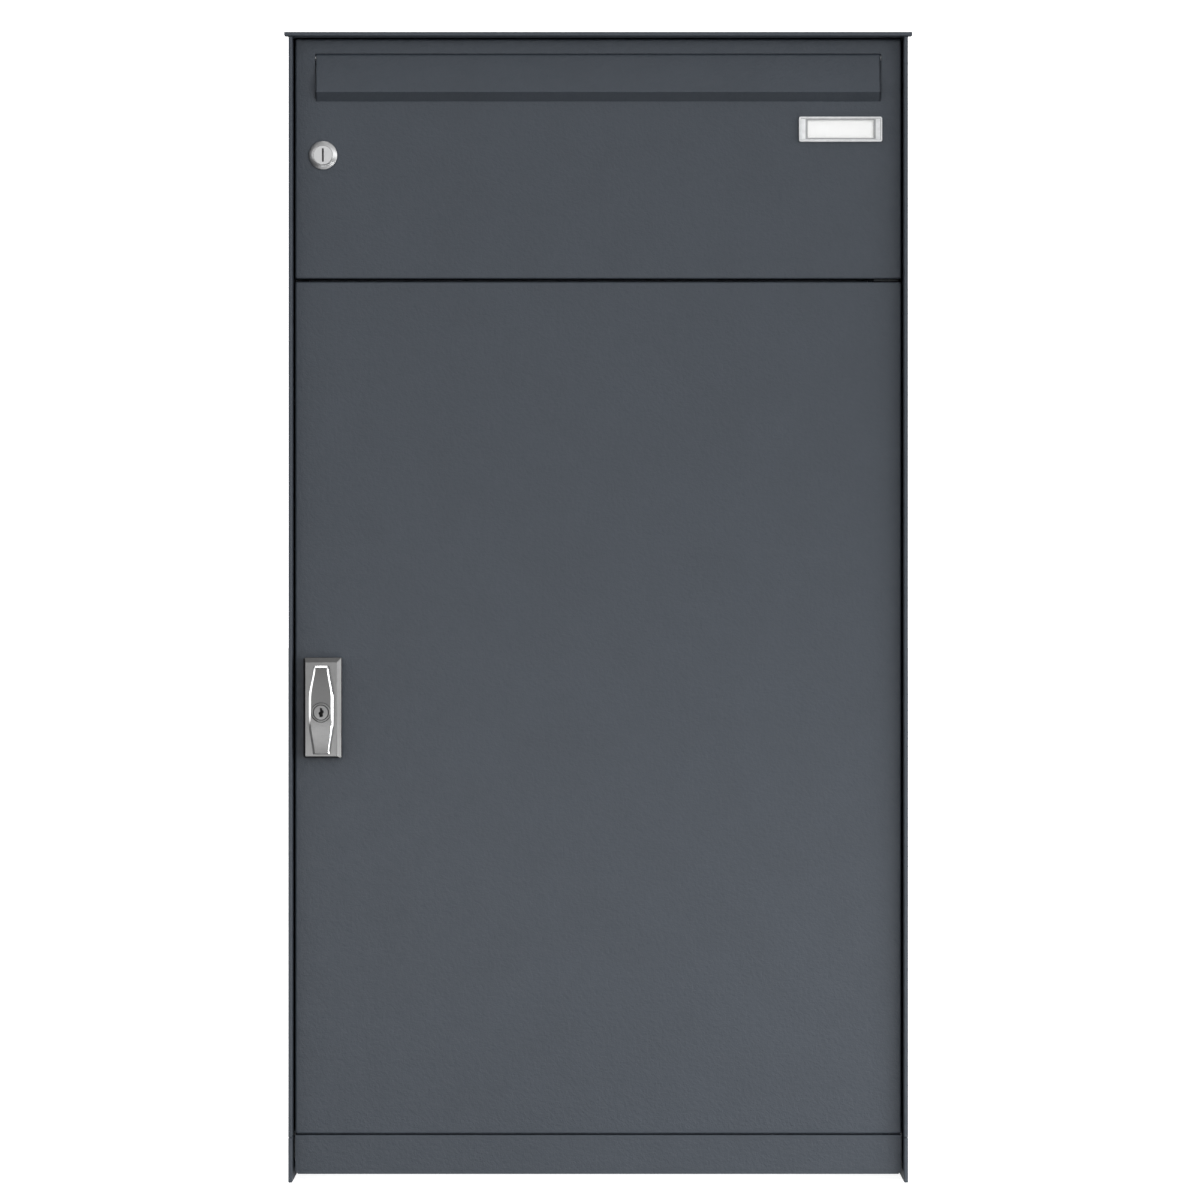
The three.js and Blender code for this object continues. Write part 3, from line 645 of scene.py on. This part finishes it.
def barrel():
    """Ring of the lock in the lever, with a rounded front edge."""
    low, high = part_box("handle_lock_barrel")
    axis = centre_of("handle_lock_barrel")
    outer = 7.5 * MM
    inner = 6.2 * MM
    profile = [
        (inner, high.y - 1 * MM),
        (inner, low.y + 0.15 * MM),
        (inner + 0.1 * MM, low.y),
        (outer - 0.5 * MM, low.y),
        (outer - 0.15 * MM, low.y + 0.15 * MM),
        (outer, low.y + 0.5 * MM),
        (outer, high.y - 1 * MM),
    ]
    obj = turned("handle_lock_ring", (axis.x, axis.z), profile, CAST, closed=True)
    place(obj, "turn_handle", "satin_chrome", "handle_lock_barrel")


def prism_y(name, outline, y0, y1, material):
    """A closed (x, z) outline swept along Y."""
    bm = bmesh.new()
    loft(bm, [[(x, y, z) for x, z in outline] for y in (y0, y1)])
    return add_object(name, bm, material)


def key_core():
    """Core of the lever's lock, with a keyhole. The points of its outline are (x, z) in mm."""
    low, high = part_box("handle_key_plug")
    axis = centre_of("handle_key_plug")
    radius = 5.8 * MM
    profile = [
        (radius, high.y),
        (radius, low.y + 0.35 * MM),
        (radius - 0.3 * MM, low.y + 0.05 * MM),
        (radius - 0.8 * MM, low.y),
    ]
    obj = turned("handle_key_core", (axis.x, axis.z), profile, CAST)
    wards = [
        (-0.8, 3.5),
        (0.9, 3.5),
        (0.9, 2.2),
        (2.1, 1.4),
        (2.1, -0.3),
        (1.2, -1.0),
        (1.6, -1.7),
        (1.6, -2.8),
        (0.6, -3.5),
        (-1.1, -3.5),
        (-1.1, -1.9),
        (-1.8, -1.2),
        (-1.8, 0.1),
        (-0.5, 0.9),
        (-0.8, 1.7),
    ]
    outline = [(axis.x + x * MM, axis.z + z * MM) for x, z in wards]
    cut(obj, prism_y("keyway", outline, low.y - 2 * MM, low.y + 4.5 * MM, KEYWAY))
    place(obj, "handle_key_core", "satin_chrome", "handle_key_plug")


def lock_cap():
    """Letter lock: the sloping ring of its domed cap, with the threaded body behind."""
    low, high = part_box("letter_lock_housing")
    axis = centre_of("letter_lock_housing")
    rim, bore, body = 11.2 * MM, 7.5 * MM, 9 * MM
    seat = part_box("letter_door_panel")[0].y
    front = low.y + 0.1 * MM
    slope = [
        (bore + 0.1 * MM, front),
        (bore + 0.5 * MM, front + 0.07 * MM),
        (bore + 0.9 * MM, front + 0.22 * MM),
        (rim - 0.5 * MM, front + 1.55 * MM),
        (rim - 0.2 * MM, front + 1.8 * MM),
        (rim - 0.05 * MM, front + 2.1 * MM),
        (rim, front + 2.5 * MM),
    ]
    profile = [(bore, high.y), (body, high.y), (body, seat), (rim, seat)] + slope[::-1]
    profile.append((bore, front + 0.12 * MM))
    obj = turned("letter_lock_cap", (axis.x, axis.z), profile, CHROME, closed=True, angle=28)
    place(obj, "letter_door", "satin_chrome", "letter_lock_housing")


def lock_core():
    """Flat disc of the lock, level with its ring, with an upright key slot."""
    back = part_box("letter_lock_plug")[1].y
    axis = centre_of("letter_lock_plug")
    radius, tail = 7.4 * MM, 3.5 * MM
    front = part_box("letter_lock_housing")[0].y + 0.1 * MM
    profile = [
        (tail, back),
        (tail, back - 7 * MM),
        (radius, back - 8 * MM),
        (radius, front + 0.15 * MM),
        (radius - 0.1 * MM, front),
    ]
    obj = turned("letter_lock_core", (axis.x, axis.z), profile, CHROME)
    slot = rounded_rectangle(0.72 * MM, 5.25 * MM, 0.5 * MM)
    outline = [(axis.x + p.x, axis.z + p.y) for p in slot]
    cut(obj, prism_y("key_slot", outline, front - 2 * MM, front + 2.2 * MM, SLOT))
    place(obj, "letter_lock", "satin_chrome", "letter_lock_plug")


def name_plate():
    """Moulded holder: a bright rim, a groove inside it with painted shade, wide ends and a window over the
    card.
    """
    low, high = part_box("name_plate_frame")
    # Each level is in mm: in from the ends, the foot and the head, corner radius, depth behind the front.
    ends, below, above = 6.8, 3.1, 2.75
    levels = [
        (1.2, 1.2, 1.2, 0.8, 4.0),
        (0, 0, 0, 1.6, 4.0),
        (0, 0, 0, 1.6, 0.7),
        (0.12, 0.12, 0.12, 1.5, 0.3),
        (0.4, 0.4, 0.4, 1.2, 0),
        (1.3, 1.2, 1.2, 0.8, 0),
        (1.65, 1.5, 1.5, 0.6, 0.55),
        (ends - 1.7, below - 0.9, above - 0.8, 0.5, 0.7),
        (ends - 1.0, below - 0.5, above - 0.5, 0.4, 0.95),
        (ends, below, above, 0.3, 0.95),
        (ends, below, above, 0.3, 1.2),
        (2.4, 1.4, 1.4, 0.4, 1.2),
    ]
    rings = []
    for at_ends, at_foot, at_head, radius, depth in levels:
        insets = [at_ends * MM, at_ends * MM, at_foot * MM, at_head * MM]
        rings.append(inset_ring(low, high, insets, radius * MM, min(high.y, low.y + depth * MM)))
    shaded = (5, 7, 8, 9)  # levels that are followed by a band in a groove or on a step, which gets painted shade
    indices = [[int(k in shaded)] * len(rings[0]) for k in range(len(rings))]
    bm = bmesh.new()
    loft(bm, rings + rings[:1], capped=False, material_indices=indices)
    obj = add_object("name_plate_holder", bm, [SILVER, SHADE], 30)
    place(obj, "letter_door", "silver_plastic", "name_plate_frame")


# ---------------------------------------------------------------- CAD nodes that stay


def dress(node, material, rounding, segments):
    """Gives a CAD node its material and rounds its edges."""
    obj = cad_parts[node]
    obj.data.materials.clear()
    obj.data.materials.append(material)
    merge = obj.modifiers.new("merge", "WELD")
    merge.merge_threshold = 1e-6
    flat = obj.modifiers.new("flat_faces", "DECIMATE")
    flat.decimate_type = "DISSOLVE"
    flat.angle_limit = math.radians(1)
    soften(obj, rounding, segments, 25)


PLATES = ("side_panel_left", "side_panel_right", "roof_panel", "plinth_cheek_left", "plinth_cheek_right")
FRAME = ("frame_post_left", "frame_post_right", "frame_head", "frame_mid_rail")
INNER_SHEETS = ("base_pan", "divider_shelf", "letter_slot_guard", "parcel_door_stiffener")
PAINTED_SMALL = (
    "hinge_bracket_middle",
    "hinge_pin_top",
    "hinge_pin_bottom",
    "flap_bracket_left",
    "flap_bracket_right",
)
SMALL_STEEL = (
    "flap_rod",
    "letter_lock_nut",
    "letter_lock_cam",
    "letter_cam_screw",
    "handle_screw_lower",
    "handle_screw_upper",
    "handle_spindle",
    "handle_cam",
    "handle_cam_bolt",
)
BUSHES = [
    f"{door}_door_hinge_bush_{end}" for door in ("letter", "parcel") for end in ("top", "bottom")
]
SEALS = ("letter_door_seal", "parcel_door_seal")

# Nodes, their material, the rounding of their edges and the segments in it.
FINISHES = (
    (PLATES, POWDER, PLATE_EDGE, 2),
    (("back_panel",), POWDER, 0.3 * MM, 2),
    # the small parts in the gaps are near black as painted shade
    (PAINTED_SMALL, GAP_SHADE_COAT, 0.25 * MM, 2),
    (FRAME, POWDER, 0.35 * MM, 2),
    (INNER_SHEETS, GALVANISED, 0.35 * MM, 2),
    (SMALL_STEEL, ZINC, 0.25 * MM, 2),
    (BUSHES, NYLON, 0.2 * MM, 2),
    (SEALS, FOAM, 1.2 * MM, 4),
    (("handle_gasket",), FOAM, 0.2 * MM, 2),
    (("name_card",), CARD, 0.05 * MM, 2),
    (("name_plate_window",), CLEAR, 0.1 * MM, 2),
)
for nodes, *finish in FINISHES:
    for node in nodes:
        dress(node, *finish)

letter_door()
parcel_door()
flap()
plinth()
handle_base()
lever()
barrel()
key_core()
lock_cap()
lock_core()
name_plate()


# ---------------------------------------------------------------- stage, light and camera


def floor():
    """A wide round floor that sends no light back to the box, so that its undersides stay dark."""
    bm = bmesh.new()
    bmesh.ops.create_circle(bm, cap_ends=True, radius=FLOOR_RADIUS, segments=96)
    obj = add_object("floor", bm, floor_paint())
    obj.visible_diffuse = False
    obj.visible_glossy = False


# Brightness of the room, by how far a direction points up, and by how far it points along ROOM_AXIS,
# which runs level to the right and back.
ROOM_AXIS = (0.8, 0.6, 0)
ROOM_HEIGHT = [
    (-1, 0.7),
    (-0.8, 0.7),
    (-0.7, 0.1),
    (-0.12, 0.12),
    (-0.03, 2.0),
    (0.25, 2.0),
    (0.42, 0.65),
    (0.8, 0.6),
    (0.9, 0.5),
    (1, 0.5),
]
ROOM_WALLS = [(-1, 0.95), (-0.6, 1.0), (0.15, 1.9), (0.4, 1.6), (0.7, 1.25), (1, 1.15)]


def area_light(name, position, target, size, power, shape=1.0, only_reflected=False):
    """A lamp aimed at a target: its width, its watts and its height as a share of its width."""
    light = bpy.data.lights.new(name, "AREA")
    light.shape = "RECTANGLE"
    light.size = size
    light.size_y = size * shape
    light.energy = power
    obj = bpy.data.objects.new(name, light)
    obj.location = position
    aim = Vector(target) - Vector(position)
    obj.rotation_euler = aim.to_track_quat("-Z", "Y").to_euler()
    obj.visible_camera = False
    obj.visible_diffuse = not only_reflected
    bpy.context.scene.collection.objects.link(obj)


def grey_ramp(tree, value, stops):
    """A grey that follows a value between -1 and 1, from (value, grey) stops."""
    scaled = tree.nodes.new("ShaderNodeMapRange")
    scaled.inputs["From Min"].default_value = -1
    tree.links.new(value, scaled.inputs["Value"])
    ramp = tree.nodes.new("ShaderNodeValToRGB")
    tree.links.new(scaled.outputs["Result"], ramp.inputs["Fac"])
    points = ramp.color_ramp.elements
    while len(points) < len(stops):
        points.new(0.5)
    for point, (at, grey) in zip(points, stops):
        point.position = (at + 1) / 2
        point.color = (grey, grey, grey, 1)
    return ramp.outputs["Color"]


def toward(tree, direction, axis):
    """How far a direction points along an axis, from -1 to 1."""
    node = tree.nodes.new("ShaderNodeVectorMath")
    node.operation = "DOT_PRODUCT"
    node.inputs[1].default_value = axis
    tree.links.new(direction, node.inputs[0])
    return node.outputs["Value"]


def surroundings():
    """A grey and white room, brightest level with the box and to its right, darkest a little lower."""
    world = bpy.data.worlds.new("studio")
    world.use_nodes = True
    tree = world.node_tree
    direction = tree.nodes.new("ShaderNodeTexCoord").outputs["Generated"]
    both = tree.nodes.new("ShaderNodeMix")
    both.data_type = "RGBA"
    both.blend_type = "MULTIPLY"
    both.inputs["Factor"].default_value = 1
    by_height = grey_ramp(tree, toward(tree, direction, (0, 0, 1)), ROOM_HEIGHT)
    by_side = grey_ramp(tree, toward(tree, direction, ROOM_AXIS), ROOM_WALLS)
    # A Mix node's colour sockets share their names with its other sockets, so they go by number.
    tree.links.new(by_height, both.inputs[6])
    tree.links.new(by_side, both.inputs[7])
    tree.links.new(both.outputs[2], tree.nodes["Background"].inputs["Color"])
    bpy.context.scene.world = world


def camera():
    """Looks straight at the front, as the photo does."""
    low, high = (Vector(corner) for corner in cad_box)
    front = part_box("side_panel_left")[0].y
    data = bpy.data.cameras.new("camera")
    data.lens = CAMERA_LENS
    data.sensor_width = 36
    data.clip_end = 200
    obj = bpy.data.objects.new("camera", data)
    obj.location = (CAMERA_SIDE, front - CAMERA_DISTANCE, (low.z + high.z) / 2 + CAMERA_RISE)
    obj.rotation_euler = (math.pi / 2, 0, 0)
    bpy.context.scene.collection.objects.link(obj)
    bpy.context.scene.camera = obj


floor()
surroundings()
LAMPS = (
    ("floor_strip", (0.66, -0.75, 0.07), (0.18, -0.17, 0.05), 0.9, 3.7, 0.13),
    ("card", (-0.26, -1.0, 0.14), (-0.22, -0.17, 0.3), 0.3, 1.1, 0.8, True),
    ("right", (1.75, 0.05, 0.35), (-0.2, -0.18, 0.35), 1.3, 26, 1.3),
    ("top", (-0.1, -0.4, 2.6), (-0.15, -0.2, 0.4), 0.6, 3),
)
for lamp in LAMPS:
    area_light(*lamp)
camera()

bpy.context.scene.view_settings.view_transform = "Standard"
